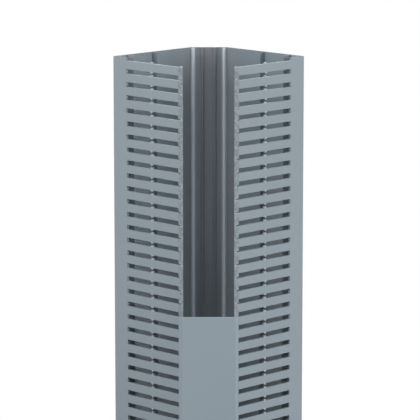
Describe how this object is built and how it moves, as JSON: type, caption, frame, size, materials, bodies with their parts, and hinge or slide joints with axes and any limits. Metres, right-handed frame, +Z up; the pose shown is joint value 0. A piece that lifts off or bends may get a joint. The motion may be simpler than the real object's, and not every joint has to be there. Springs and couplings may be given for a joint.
{
  "type": "corner wiring duct",
  "caption": "Square slotted wiring duct for an enclosure corner, with open slots along its front walls and a snap cover across the mouth.",
  "frame": {"origin": "middle of the standing part's footprint, on the floor under its lower sawn end", "axes": "+Z up along the duct; the two plain back walls face +X and +Y, the two slotted walls face -X and -Y, and the cover faces the corner between -X and -Y"},
  "size_m": [0.1336, 0.1336, 1.8288],
  "materials": {
    "duct_pvc": "extruded rigid PVC, satin grey",
    "cover_pvc": "extruded rigid PVC, satin grey"
  },
  "bodies": {
    "duct": {"duct": "duct_pvc"},
    "cover": {"cover": "cover_pvc"}
  },
  "joints": [
    {"name": "cover_slide", "type": "slide", "parent": "duct", "child": "cover", "axis": [0, 0, 1], "range_m": [0, 0.243]}
  ]
}
